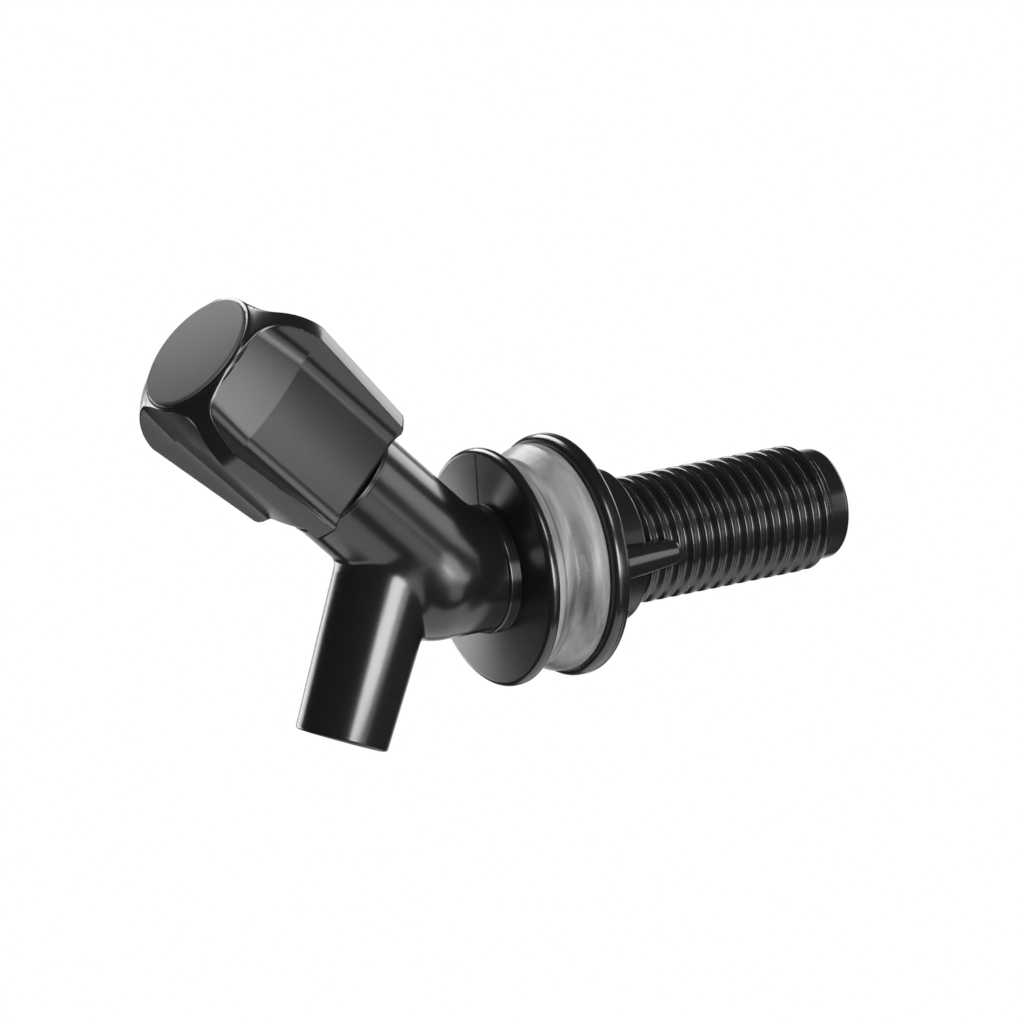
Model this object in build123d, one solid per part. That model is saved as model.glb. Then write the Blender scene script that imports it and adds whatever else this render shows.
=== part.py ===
from build123d import *
import os
from math import cos, radians, sin

# Frame: the origin is the centre of the flange's sealing face, on the shank's axis.
# +X runs along the shank to its open end, +Z is up, and XZ is the moulding's parting plane.

# Fits
running_clearance = 0.10
contact_clearance = 0.05
shank_clearance = 0.12
knob_clearance = 0.60

# Shank and its thread
shank_length = 48.1
thread_crest_radius = 8.0
thread_depth = 0.8
thread_pitch = 2.0
thread_crest_width = 0.56
thread_root_width = 1.7
thread_sink = 0.3
thread_start = 1.6
lead_in_length = 3.2
lead_in_radius = 7.0
lead_in_round = 0.7
inlet_bore_radius = 5.4
passage_radius = 4.2
passage_end = -2.0

# Fixed flange and hub
flange_radius = 14.9
flange_thickness = 1.4
flange_front_round = 0.7
flange_back_round = 0.3
hub_radius = 7.6
hub_collar_radius = 8.0
hub_collar_length = 1.5
hub_collar_round = 0.3
hub_reach = 9.5

# Barrel, neck and valve seat
barrel_angle = 45.0
elbow_reach = 6.7
barrel_radius = 7.9
barrel_length = 21.4
barrel_bead_height = 0.15
barrel_bead_width = 0.8
barrel_bead_round = 0.3
neck_wall = 1.2
neck_length = 9.6
chamber_radius = 5.3
chamber_floor = 4.6
seat_bore_radius = 2.6
seat_wall = 1.1
seat_height = 0.8

# Spout
spout_angle = 22.5
spout_root = 9.8
spout_length = 26.7
spout_root_radius = 6.62
spout_end_radius = 5.85
spout_end_round = 0.5
spout_bore_radius = 4.1
spout_bore_length = 14.0
spout_passage_radius = 3.6

# Seals on the shank
outer_seal_inset = 1.0
outer_seal_thickness = 1.5
outer_seal_round = 0.55
inner_seal_inset = 1.0
inner_seal_foot_inset = 1.1
inner_seal_thickness = 6.2
inner_seal_band = 2.3
inner_seal_waist_depth = 0.35
inner_seal_round = 0.5

# Wing nut
nut_flange_overhang = 0.3
nut_flange_thickness = 2.3
nut_rim_round = 0.9
nut_hub_radius = 9.7
nut_length = 8.3
nut_hub_round = 0.4
nut_root_round = 0.6
wing_thickness = 3.3
wing_root_inset = 1.3
wing_tip_share = 0.476
wing_length = 12.3
wing_tip_round = 1.2
wing_edge_round = 0.35

# Bonnet that closes the neck and guides the spindle
bonnet_wall = 1.25
bonnet_depth = 13.5
bonnet_head_height = 3.2
bonnet_head_across_flats = 11.0
bonnet_gland_length = 4.0
o_ring_section = 1.1
o_ring_groove_width = 1.4
bonnet_groove_drop = 2.8

# Spindle and jumper
spindle_lift_room = 5.5
spindle_shaft_radius = 2.6
spindle_groove_drop = 3.0
spindle_drive_across = 3.4
spindle_drive_length = 5.0
spindle_drive_gap = 2.0
jumper_stem_radius = 2.0
jumper_stem_length = 9.0
jumper_shoulder_length = 2.35
jumper_plate_radius = 4.6
jumper_plate_thickness = 2.2
jumper_lip_wall = 0.5
jumper_lip_height = 1.0
washer_thickness = 2.0
pilot_hole_depth = 7.0

# Knob
knob_gap = 0.6
knob_length = 24.4
knob_end_radius = 11.5
knob_end_chamfer = 0.5
knob_end_chamfer_height = 1.0
knob_kink_radius = 13.7
knob_kink_rise = 17.4
knob_shoulder_radius = 11.6
knob_shoulder_rise = 22.1
rim_radius = 8.3
rim_height = 0.3
rim_depth = 0.4
rim_round = 0.25
rim_fillet = 1.0
rib_width = 2.4
panel_half_width = 8.0
panel_step = 0.16
panel_bulge = 0.35
panel_fillet = 1.5
panel_step_rise = 16.7
panel_taper = 3.5
knob_cavity_depth = 19.0
boss_radius = 4.2
boss_hole_depth = 5.2
web_rise = 21.0
screw_well_radius = 5.65

# Knob cap and screw
cap_radius = 7.78
cap_thickness = 0.65
cap_dome = 0.35
cap_edge_round = 0.25
cap_ring_wall = 0.9
cap_ring_length = 2.4
screw_radius = 1.25
screw_head_radius = 2.7
screw_head_height = 1.8
screw_length = 7.2
screw_slot_width = 0.8
screw_slot_depth = 1.0

# Derived places along the barrel's axis, measured from the elbow
neck_top = barrel_length + neck_length
neck_radius = chamber_radius + neck_wall
seat_face = chamber_floor + seat_height
seat_post_radius = seat_bore_radius + seat_wall
washer_face = seat_face + contact_clearance
jumper_plate_face = washer_face + washer_thickness
jumper_plate_end = jumper_plate_face + jumper_plate_thickness
spindle_foot = jumper_plate_end + jumper_shoulder_length
bonnet_radius = chamber_radius - running_clearance
bonnet_bore_radius = bonnet_radius - bonnet_wall
bonnet_gland_start = neck_top - bonnet_gland_length
bonnet_groove_start = neck_top - bonnet_groove_drop
gland_bore_radius = spindle_shaft_radius + running_clearance
spindle_collar_radius = bonnet_bore_radius - running_clearance
spindle_collar_end = bonnet_gland_start - spindle_lift_room
spindle_groove_start = neck_top - spindle_groove_drop
drive_start = neck_top + bonnet_head_height + spindle_drive_gap
spindle_top = drive_start + spindle_drive_length
knob_start = barrel_length + knob_gap
panel_step_height = knob_start + panel_step_rise
knob_kink_height = knob_start + knob_kink_rise
knob_shoulder_height = knob_start + knob_shoulder_rise
knob_cavity_top = knob_start + knob_cavity_depth
web_top = knob_start + web_rise
knob_top = knob_start + knob_length
cap_seat = knob_top
rim_top = cap_seat + rim_height
knob_bore_radius = neck_radius + knob_clearance

# Derived sizes round the shank
nut_flange_radius = flange_radius + nut_flange_overhang
outer_seal_radius = flange_radius - outer_seal_inset
inner_seal_radius = nut_flange_radius - inner_seal_inset
inner_seal_foot_radius = inner_seal_radius - inner_seal_foot_inset
wing_root_radius = nut_flange_radius - wing_root_inset
wing_tip_radius = nut_hub_radius + wing_tip_share * (wing_root_radius - nut_hub_radius)

# Derived places along the shank
inner_seal_start = outer_seal_thickness + contact_clearance
nut_start = inner_seal_start + inner_seal_thickness + contact_clearance
nut_bore_radius = thread_crest_radius + shank_clearance
seal_bore_radius = thread_crest_radius + shank_clearance

# Directions of the barrel and of the spout, and the planes that the turned forms stand on
barrel_direction = (-cos(radians(barrel_angle)), 0, sin(radians(barrel_angle)))
barrel_side = (sin(radians(barrel_angle)), 0, cos(radians(barrel_angle)))
spout_direction = (-sin(radians(spout_angle)), 0, -cos(radians(spout_angle)))
spout_side = (cos(radians(spout_angle)), 0, -sin(radians(spout_angle)))
elbow = Vector(-elbow_reach, 0, 0)
shank_plane = Plane(origin=(0, 0, 0), x_dir=(0, 0, 1), z_dir=(1, 0, 0))
barrel_plane = Plane(origin=elbow, x_dir=barrel_side, z_dir=barrel_direction)
spout_origin = elbow + Vector(*barrel_direction) * spout_root
spout_plane = Plane(origin=spout_origin, x_dir=spout_side, z_dir=spout_direction)


def turned(*corners):
    """Revolve a closed section, given as (radius, height, rounding) corners, about its axis."""
    points = [(radius, height) for radius, height, rounding in corners]
    rounds = [rounding for radius, height, rounding in corners]
    section = make_face(FilletPolyline(*points, radius=rounds, close=True))
    return revolve(Plane.XZ * section, Axis.Z)


def tube(outer, inner, start, end, rounding=0.0):
    """A ring with the same rounding on its two outer edges."""
    return turned((inner, start, 0), (outer, start, rounding), (outer, end, rounding), (inner, end, 0))


def rod(radius, start, end):
    """A plain cylinder between two heights on its axis."""
    return Pos(0, 0, start) * Cylinder(radius, end - start, align=(Align.CENTER, Align.CENTER, Align.MIN))


def o_ring(inner_radius, groove_start):
    """A round-section ring that lies in a groove of the given floor and start."""
    middle_radius = inner_radius + o_ring_section / 2
    return Pos(0, 0, groove_start + o_ring_groove_width / 2) * Torus(middle_radius, o_ring_section / 2)


def shank_thread():
    """The helical ridge of the shank's thread, as one swept trapezoid."""
    height = shank_length - lead_in_length - thread_start - thread_pitch / 2
    path = Helix(pitch=thread_pitch, height=height, radius=thread_crest_radius - thread_depth - thread_sink)
    reach = thread_depth + thread_sink
    ridge = make_face(
        Polyline(
            (0, -thread_root_width / 2),
            (0, thread_root_width / 2),
            (reach, thread_crest_width / 2),
            (reach, -thread_crest_width / 2),
            close=True,
        )
    )
    start = Plane(origin=path @ 0, x_dir=(1, 0, 0), z_dir=path % 0)
    return Pos(0, 0, thread_start) * sweep(start * ridge, path=path, is_frenet=True)


def make_body():
    """The Y-shaped moulding: shank, flange, hub, barrel, neck and spout."""
    root_radius = thread_crest_radius - thread_depth
    lead_in_start = shank_length - lead_in_length
    shank = turned(
        (0, -flange_thickness, 0),
        (root_radius, -flange_thickness, 0),
        (root_radius, lead_in_start, 0),
        (lead_in_radius, lead_in_start, 0),
        (lead_in_radius, shank_length, lead_in_round),
        (0, shank_length, 0),
    )
    shank += shank_thread()
    flange = turned(
        (0, -flange_thickness, 0),
        (flange_radius, -flange_thickness, flange_front_round),
        (flange_radius, 0, flange_back_round),
        (0, 0, 0),
    )
    hub = rod(hub_radius, -hub_reach, 0) + Pos(0, 0, -hub_reach) * Sphere(hub_radius)
    hub_collar = turned(
        (0, -flange_thickness - hub_collar_length, 0),
        (hub_collar_radius, -flange_thickness - hub_collar_length, hub_collar_round),
        (hub_collar_radius, 0, 0),
        (0, 0, 0),
    )
    barrel = rod(barrel_radius, 0, barrel_length) + rod(neck_radius, 0, neck_top)
    barrel_bead = turned(
        (0, barrel_length - barrel_bead_width, 0),
        (barrel_radius + barrel_bead_height, barrel_length - barrel_bead_width, barrel_bead_height / 2),
        (barrel_radius + barrel_bead_height, barrel_length, barrel_bead_round),
        (0, barrel_length, 0),
    )
    spout = turned(
        (0, 0, 0),
        (spout_root_radius, 0, 0),
        (spout_end_radius, spout_length, spout_end_round),
        (0, spout_length, 0),
    )
    solid = shank_plane * (flange + hub + hub_collar)
    solid += barrel_plane * (barrel + barrel_bead)
    solid += spout_plane * spout
    solid += shank_plane * shank

    seat_post = barrel_plane * rod(seat_post_radius, -hub_radius, chamber_floor)
    solid -= barrel_plane * rod(chamber_radius, chamber_floor, neck_top)
    solid -= spout_plane * rod(spout_passage_radius, 0, spout_length) - seat_post
    solid -= spout_plane * rod(spout_bore_radius, spout_length - spout_bore_length, spout_length)
    solid += barrel_plane * rod(seat_post_radius, chamber_floor - seat_height, seat_face)
    solid -= barrel_plane * rod(seat_bore_radius, 0, seat_face)
    solid -= shank_plane * rod(passage_radius, -elbow_reach, passage_end)
    solid -= shank_plane * rod(inlet_bore_radius, passage_end, shank_length)
    return solid


def make_outer_seal():
    """The thin washer against the fixed flange."""
    return shank_plane * tube(outer_seal_radius, seal_bore_radius, 0, outer_seal_thickness, outer_seal_round)


def make_inner_seal():
    """The thick gasket against the nut: a waisted cone with a straight band."""
    end = inner_seal_start + inner_seal_thickness
    band_start = end - inner_seal_band
    foot_end = inner_seal_start + inner_seal_round
    waist = Vector(
        (inner_seal_foot_radius + inner_seal_radius) / 2 - inner_seal_waist_depth,
        (foot_end + band_start) / 2,
    )
    outline = Polyline(
        (inner_seal_foot_radius, foot_end),
        (inner_seal_foot_radius - inner_seal_round, inner_seal_start),
        (seal_bore_radius, inner_seal_start),
        (seal_bore_radius, end),
        (inner_seal_radius - inner_seal_round, end),
    )
    outline += RadiusArc(
        (inner_seal_radius - inner_seal_round, end),
        (inner_seal_radius, end - inner_seal_round),
        -inner_seal_round,
    )
    outline += Line((inner_seal_radius, end - inner_seal_round), (inner_seal_radius, band_start))
    outline += ThreePointArc(
        (inner_seal_radius, band_start), (waist.X, waist.Y), (inner_seal_foot_radius, foot_end)
    )
    return shank_plane * revolve(Plane.XZ * make_face(outline), Axis.Z)


def make_wing_nut():
    """The flanged nut with two wings that reach past its hub."""
    flange_end = nut_start + nut_flange_thickness
    hub_end = nut_start + nut_length
    nut = turned(
        (nut_bore_radius, nut_start, 0),
        (nut_flange_radius, nut_start, nut_rim_round),
        (nut_flange_radius, flange_end, nut_rim_round),
        (nut_hub_radius, flange_end, nut_root_round),
        (nut_hub_radius, hub_end, nut_hub_round),
        (nut_bore_radius, hub_end, 0),
    )
    wing_foot = (nut_bore_radius + nut_hub_radius) / 2
    wing_end = nut_start + wing_length
    wing_face = make_face(
        FilletPolyline(
            (wing_foot, nut_start + nut_rim_round),
            (wing_root_radius, nut_start + nut_rim_round),
            (wing_tip_radius, wing_end),
            (wing_foot, wing_end),
            radius=[0, 0, wing_tip_round, wing_edge_round],
            close=True,
        )
    )
    wing = extrude(Plane.XZ * wing_face, wing_thickness / 2, both=True)
    wing = fillet(wing.faces().sort_by(Axis.Y)[-1].edges(), wing_edge_round)
    wing = fillet(wing.faces().sort_by(Axis.Y)[0].edges(), wing_edge_round)
    for turn in (90, 270):
        nut += Rot(0, 0, turn) * wing
    nut -= rod(nut_bore_radius, nut_start, wing_end)
    return shank_plane * nut


def knob_core(half_width):
    """The knob's core in section: a square with bulging sides."""
    corner = Vector(half_width, half_width)
    middle = Vector(0, half_width + panel_bulge)
    side = ThreePointArc(corner, middle, corner.rotate(Axis.Z, 90))
    return make_face([side.rotate(Axis.Z, turn) for turn in (0, 90, 180, 270)])


def knob_ribs():
    """The four ribs in section, one on each corner of the core."""
    rib = Rectangle(4 * knob_kink_radius, rib_width)
    return Rot(0, 0, 45) * rib + Rot(0, 0, -45) * rib


def near_axis(shape):
    """True for what lies inside the knob's outline, so not on a rib's end."""
    middle = Vector(*shape.center())
    return Vector(middle.X, middle.Y).length < knob_kink_radius


def knob_skirt():
    """The knob's lower length, with straight panels."""
    section = knob_core(panel_half_width) + knob_ribs()
    section = fillet(section.vertices().filter_by(near_axis), panel_fillet)
    return Pos(0, 0, knob_start) * extrude(section, panel_step_height - knob_start)


def knob_crown():
    """The knob's upper length, where raised panels lean in towards the cap."""
    height = knob_top - panel_step_height
    crown = extrude(knob_core(panel_half_width + panel_step), height, taper=panel_taper)
    crown += extrude(knob_ribs(), height)
    upright = crown.edges().filter_by(lambda edge: abs((edge % 0.5).Z) > cos(radians(45)))
    crown = fillet(upright.filter_by(near_axis), panel_fillet)
    return Pos(0, 0, panel_step_height) * crown


def knob_rim():
    """The ring round the cap, with fillets where the ribs run into it."""
    section = fillet((Circle(rim_radius) + knob_ribs()).vertices().filter_by(near_axis), rim_fillet)
    return Pos(0, 0, knob_top - rim_depth) * extrude(section, rim_depth + rim_height)


def knob_envelope():
    """The turned outer form of the knob: a straight taper, a shoulder and a rim round the cap."""
    outline = Polyline(
        (rim_radius - rim_round, rim_top),
        (0, rim_top),
        (0, knob_start),
        (knob_end_radius, knob_start),
        (knob_end_radius + knob_end_chamfer, knob_start + knob_end_chamfer_height),
        (knob_kink_radius, knob_kink_height),
    )
    outline += ThreePointArc(
        (knob_kink_radius, knob_kink_height),
        (knob_shoulder_radius, knob_shoulder_height),
        (rim_radius, knob_top),
    )
    outline += Line((rim_radius, knob_top), (rim_radius, rim_top - rim_round))
    outline += RadiusArc((rim_radius, rim_top - rim_round), (rim_radius - rim_round, rim_top), -rim_round)
    return revolve(Plane.XZ * make_face(outline), Axis.Z)


def make_knob():
    """The four-rib knob with its stepped panels, hollow skirt, drive boss and cap recess."""
    knob = knob_envelope() & (knob_skirt() + knob_crown() + knob_rim())
    knob -= rod(knob_bore_radius, knob_start, knob_cavity_top)
    knob += rod(boss_radius, drive_start, knob_cavity_top)
    drive_across = spindle_drive_across + 2 * contact_clearance
    knob -= Pos(0, 0, drive_start) * extrude(Rectangle(drive_across, drive_across), boss_hole_depth)
    knob -= rod(screw_radius + running_clearance, drive_start + boss_hole_depth, web_top)
    knob -= rod(screw_well_radius, web_top, knob_top)
    knob -= rod(cap_radius + contact_clearance, cap_seat, rim_top)
    return barrel_plane * knob


def make_knob_cap():
    """The domed disc that closes the knob's top, with a ring that grips the screw well."""
    top = cap_seat + cap_thickness
    face_radius = cap_radius - cap_edge_round
    ring_radius = screw_well_radius - contact_clearance
    cap = turned(
        (0, top, 0),
        (0, cap_seat, 0),
        (ring_radius - cap_ring_wall, cap_seat, 0),
        (ring_radius - cap_ring_wall, cap_seat - cap_ring_length, 0),
        (ring_radius, cap_seat - cap_ring_length, 0),
        (ring_radius, cap_seat, 0),
        (cap_radius, cap_seat, 0),
        (cap_radius, top, cap_edge_round),
    )
    dome_radius = (face_radius**2 + cap_dome**2) / (2 * cap_dome)
    dome = Pos(0, 0, top + cap_dome - dome_radius) * Sphere(dome_radius)
    cap += dome & rod(face_radius, cap_seat, top + cap_dome)
    return barrel_plane * cap


def make_knob_screw():
    """The cross-slotted screw that clamps the knob on the spindle."""
    screw = rod(screw_head_radius, web_top, web_top + screw_head_height)
    screw += rod(screw_radius, web_top - screw_length, web_top)
    slot = Box(2 * screw_radius, screw_slot_width, screw_slot_depth)
    slot_height = web_top + screw_head_height - screw_slot_depth / 2
    screw -= Pos(0, 0, slot_height) * slot
    screw -= Pos(0, 0, slot_height) * Rot(0, 0, 90) * slot
    return barrel_plane * screw


def make_bonnet():
    """The insert that closes the neck, with a hexagonal head on the neck's end."""
    foot = neck_top - bonnet_depth
    head_top = neck_top + bonnet_head_height
    head = RegularPolygon(bonnet_head_across_flats / 2, 6, major_radius=False)
    bonnet = rod(bonnet_radius, foot, neck_top)
    bonnet += Pos(0, 0, neck_top) * extrude(head, bonnet_head_height)
    bonnet -= rod(bonnet_bore_radius, foot, bonnet_gland_start)
    bonnet -= rod(gland_bore_radius, bonnet_gland_start, head_top)
    groove_floor = bonnet_radius - o_ring_section
    groove_end = bonnet_groove_start + o_ring_groove_width
    bonnet -= tube(chamber_radius, groove_floor, bonnet_groove_start, groove_end)
    return barrel_plane * bonnet


def make_spindle():
    """The turning spindle: threaded collar, shaft with a ring groove, and square drive."""
    spindle = rod(spindle_collar_radius, spindle_foot, spindle_collar_end)
    spindle += rod(spindle_shaft_radius, spindle_collar_end, drive_start)
    square = Rectangle(spindle_drive_across, spindle_drive_across)
    spindle += Pos(0, 0, drive_start) * extrude(square, spindle_drive_length)
    spindle -= rod(jumper_stem_radius + running_clearance, spindle_foot, spindle_foot + jumper_stem_length)
    groove_floor = spindle_shaft_radius - o_ring_section
    groove_end = spindle_groove_start + o_ring_groove_width
    spindle -= tube(gland_bore_radius, groove_floor, spindle_groove_start, groove_end)
    spindle -= rod(screw_radius, spindle_top - pilot_hole_depth, spindle_top)
    return barrel_plane * spindle


def make_jumper():
    """The non-turning plunger: a plate with a lip round the washer and a stem in the spindle."""
    lip_radius = jumper_plate_radius - jumper_lip_wall
    stem_end = spindle_foot + jumper_stem_length - running_clearance
    shoulder_radius = spindle_collar_radius - bonnet_wall
    jumper = rod(jumper_plate_radius, jumper_plate_face - jumper_lip_height, jumper_plate_end)
    jumper -= rod(lip_radius, jumper_plate_face - jumper_lip_height, jumper_plate_face)
    jumper += rod(jumper_stem_radius, jumper_plate_end, stem_end)
    jumper += rod(shoulder_radius, jumper_plate_end, spindle_foot - contact_clearance)
    return barrel_plane * jumper


def make_seat_washer():
    """The rubber disc that closes the seat."""
    washer_radius = jumper_plate_radius - jumper_lip_wall
    return barrel_plane * rod(washer_radius, washer_face, jumper_plate_face)


pieces = {
    "body": make_body(),
    "outer_seal": make_outer_seal(),
    "inner_seal": make_inner_seal(),
    "wing_nut": make_wing_nut(),
    "knob": make_knob(),
    "knob_cap": make_knob_cap(),
    "knob_screw": make_knob_screw(),
    "bonnet": make_bonnet(),
    "bonnet_o_ring": barrel_plane * o_ring(bonnet_radius - o_ring_section, bonnet_groove_start),
    "spindle": make_spindle(),
    "spindle_o_ring": barrel_plane * o_ring(spindle_shaft_radius - o_ring_section, spindle_groove_start),
    "jumper": make_jumper(),
    "seat_washer": make_seat_washer(),
}

os.makedirs("parts", exist_ok=True)
for name, piece in pieces.items():
    export_step(piece, f"parts/{name}.step")
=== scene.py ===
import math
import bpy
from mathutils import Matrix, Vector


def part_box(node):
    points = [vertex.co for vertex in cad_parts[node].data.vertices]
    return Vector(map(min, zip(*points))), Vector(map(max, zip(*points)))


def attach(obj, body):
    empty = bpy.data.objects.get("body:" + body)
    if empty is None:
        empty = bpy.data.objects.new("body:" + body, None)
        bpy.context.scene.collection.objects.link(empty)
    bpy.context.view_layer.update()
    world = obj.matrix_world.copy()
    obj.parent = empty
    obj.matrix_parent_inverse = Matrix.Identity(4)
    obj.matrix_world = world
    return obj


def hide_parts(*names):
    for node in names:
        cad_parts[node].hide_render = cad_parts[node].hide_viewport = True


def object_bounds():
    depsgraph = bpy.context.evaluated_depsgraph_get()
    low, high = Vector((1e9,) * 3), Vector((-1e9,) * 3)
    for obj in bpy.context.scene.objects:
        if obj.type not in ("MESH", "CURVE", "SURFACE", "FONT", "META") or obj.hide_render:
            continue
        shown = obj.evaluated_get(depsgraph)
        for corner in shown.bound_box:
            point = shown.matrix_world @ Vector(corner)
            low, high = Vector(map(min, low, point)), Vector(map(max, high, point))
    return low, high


bl_info = {
    "name": "Plastic Faucet",
    "version": (1, 0, 0),
    "blender": (4, 5, 0),
    "location": "3D View > Sidebar > Faucet",
    "description": "Dresses the packed faucet with moulded plastic, rubber seals and a studio",
    "category": "Object",
}

import bmesh
import bpy
import numpy as np
from bpy.props import FloatProperty, FloatVectorProperty, IntProperty, PointerProperty
from bpy.types import Operator, Panel, PropertyGroup
from mathutils import Matrix, Vector

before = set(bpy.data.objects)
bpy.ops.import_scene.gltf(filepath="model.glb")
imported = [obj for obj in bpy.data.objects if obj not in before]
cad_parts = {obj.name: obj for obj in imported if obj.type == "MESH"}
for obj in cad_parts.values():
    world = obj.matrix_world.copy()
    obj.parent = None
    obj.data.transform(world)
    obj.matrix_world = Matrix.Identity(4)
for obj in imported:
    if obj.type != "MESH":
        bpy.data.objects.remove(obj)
cad_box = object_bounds()

MM = 0.001
FIXED_BODY = "faucet_body"
HANDLE_BODY = "handle"
BODY_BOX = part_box("body")
OUTER_SEAL_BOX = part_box("outer_seal")
INNER_SEAL_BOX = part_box("inner_seal")
NUT_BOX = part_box("wing_nut")


def length(name, default_mm, description):
    """A size property, given in millimetres and held in metres."""
    return FloatProperty(
        name=name,
        default=default_mm * MM,
        description=description,
        subtype="DISTANCE",
        unit="LENGTH",
    )


def tilt(name, default_degrees, description):
    """An angle property, given in degrees and held in radians."""
    return FloatProperty(
        name=name,
        default=math.radians(default_degrees),
        description=description,
        subtype="ANGLE",
        unit="ROTATION",
    )


def tint(name, default, description):
    """A colour property."""
    return FloatVectorProperty(
        name=name,
        default=default,
        description=description,
        subtype="COLOR",
        size=3,
        min=0.0,
        max=1.0,
    )


def share(name, default, description):
    """A property from 0 to 1."""
    return FloatProperty(
        name=name, default=default, description=description, subtype="FACTOR", min=0.0, max=1.0
    )


class FaucetSizes(PropertyGroup):
    """Sizes that shape the dressed pieces."""

    elbow_reach: length("Elbow Reach", 6.7, "From the flange's sealing face to the barrel's axis")
    barrel_angle: tilt("Barrel Angle", 45, "Barrel above the shank's line")
    barrel_radius: length("Barrel Radius", 7.9, "Outside of the barrel")
    barrel_end: length("Barrel End", 21.4, "Shoulder under the knob, from the elbow")
    neck_radius: length("Neck Radius", 6.5, "Neck inside the knob's skirt")
    neck_top: length("Neck Top", 31.0, "Top of the neck, from the elbow")
    chamber_radius: length("Chamber Radius", 5.3, "Bore of the barrel")
    parting_land: length("Parting Land", 2.4, "Width of the flat along the barrel's underside")
    blend_radius: length("Blend Radius", 1.0, "Fillet where the spout leaves the barrel")
    hub_blend: length("Hub Blend", 2.2, "Fillet between barrel and hub")
    elbow_round: length("Elbow Round", 3.0, "Softening of the barrel's closed end")
    hub_radius: length("Hub Radius", 7.6, "Tube between the flange and the elbow")
    hub_reach: length("Hub Reach", 9.5, "Centre of the hub's round end, from the sealing face")
    collar_radius: length("Collar Radius", 8.0, "Step beside the flange")
    collar_length: length("Collar Length", 1.5, "Length of that step")
    flange_thickness: length("Flange Thickness", 1.4, "Fixed flange")
    seam_offset: length("Seam Offset", 1.0, "Parting line on the flange's face, off the middle")
    spout_angle: tilt("Spout Angle", 22.5, "Spout off the vertical")
    spout_root: length("Spout Root", 9.8, "Where its axis leaves the barrel's, from the elbow")
    spout_length: length("Spout Length", 26.7, "From the barrel's axis to the spout's end")
    spout_root_radius: length("Spout Root Radius", 6.62, "Spout at the barrel's axis")
    spout_end_radius: length("Spout End Radius", 5.85, "Spout at its end")
    spout_bore_radius: length("Spout Bore Radius", 4.1, "Water way of the spout")
    thread_crest: length("Thread Crest", 8.0, "Crest radius of the shank's thread")
    thread_depth: length("Thread Depth", 0.8, "Crest to root")
    thread_pitch: length("Thread Pitch", 2.0, "Crest to crest")
    crest_width: length("Crest Width", 0.56, "Flat on top of the thread")
    root_width: length("Root Width", 1.7, "Width of the ridge at its foot")
    thread_start: length("Thread Start", 1.6, "First turn, from the sealing face")
    lead_in_length: length("Lead-in Length", 2.8, "Plain end of the shank")
    lead_in_radius: length("Lead-in Radius", 7.0, "Radius of that end")
    inlet_radius: length("Inlet Radius", 5.4, "Bore of the shank")
    thread_clearance: length("Thread Clearance", 0.12, "Nut and seals over the thread's crest")
    seal_band: length("Seal Band", 2.3, "Full-width band of the thick seal")
    nut_flange: length("Nut Flange", 2.3, "Thickness of the nut's flange")
    nut_hub_radius: length("Nut Hub Radius", 9.7, "Outside of the nut's hub")
    nut_hub_end: length("Nut Hub End", 8.3, "End of the hub, from the seal's side")
    wing_reach: length("Wing Reach", 13.9, "Wing's edge from the shank's axis, at the flange")
    wing_tip_reach: length("Wing Tip Reach", 11.75, "The same at the tip")
    wing_half: length("Wing Half Thickness", 1.95, "Half the wing's thickness at the flange")
    wing_tip_round: length("Wing Tip Round", 1.2, "Rounding of the wing's tip")
    knob_start: length("Knob Start", 22.0, "Lower end of the skirt, from the elbow")
    knob_kink: length("Knob Kink", 39.4, "Height of the ribs' widest point")
    knob_top: length("Knob Top", 46.4, "Face under the cap")
    foot_radius: length("Foot Radius", 11.5, "Ribs at the skirt's lower edge")
    foot_chamfer: length("Foot Chamfer", 0.5, "Growth of the ribs in their first millimetre")
    kink_radius: length("Kink Radius", 13.7, "Ribs at their widest point")
    shoulder_radius: length("Shoulder Radius", 11.6, "A point that the crown's arc goes through")
    shoulder_height: length("Shoulder Height", 44.1, "Height of that point")
    core_half_width: length("Core Half Width", 8.0, "From the axis to a panel's edge")
    panel_raise: length("Panel Raise", 0.24, "Step out of the panels near the cap")
    panel_lean: tilt("Panel Lean", 3.5, "Lean of the panels over the step")
    skirt_bore: length("Skirt Bore", 7.1, "Hollow round the neck")
    well_radius: length("Well Radius", 5.65, "Screw well under the cap")
    panel_step: length("Panel Step", 38.7, "Edge between the lower and the leaning panels")
    rim_radius: length("Rim Radius", 8.3, "Ring round the cap")
    rim_height: length("Rim Height", 0.3, "Ring above the face under the cap")
    rib_width: length("Rib Width", 2.4, "Thickness of the knob's ribs")
    panel_fillet: length("Panel Fillet", 2.8, "Fillet between a panel and a rib")
    cap_radius: length("Cap Radius", 7.78, "Disc on the knob")
    facets: IntProperty(
        name="Facets", default=144, min=32, description="Facets round a turned piece"
    )


class FaucetFinish(PropertyGroup):
    """Colours and gloss of the materials."""

    black: tint("Black Plastic", (0.008, 0.008, 0.0082), "Body, knob and nut")
    charcoal: tint("Cap Plastic", (0.055, 0.055, 0.055), "Matt disc")
    seal_light: tint("Seal Light", (0.32, 0.32, 0.315), "Clear streaks of the seals")
    seal_dark: tint("Seal Dark", (0.065, 0.065, 0.065), "Deep streaks of the seals")
    acetal: tint("Acetal", (0.80, 0.79, 0.75), "Spindle, bonnet and plunger")
    steel: tint("Steel", (0.62, 0.62, 0.62), "Screw")
    body_roughness: share("Body Roughness", 0.21, "Moulded gloss")
    knob_roughness: share("Knob Roughness", 0.24, "Moulded satin")
    cap_roughness: share("Cap Roughness", 0.55, "Matt disc")
    seal_roughness: share("Seal Roughness", 0.34, "Translucent rubber")
    rubber_roughness: share("Rubber Roughness", 0.50, "Rings and washer inside")
    acetal_roughness: share("Acetal Roughness", 0.42, "Spindle, bonnet and plunger")
    steel_roughness: share("Steel Roughness", 0.30, "Screw")


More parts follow.
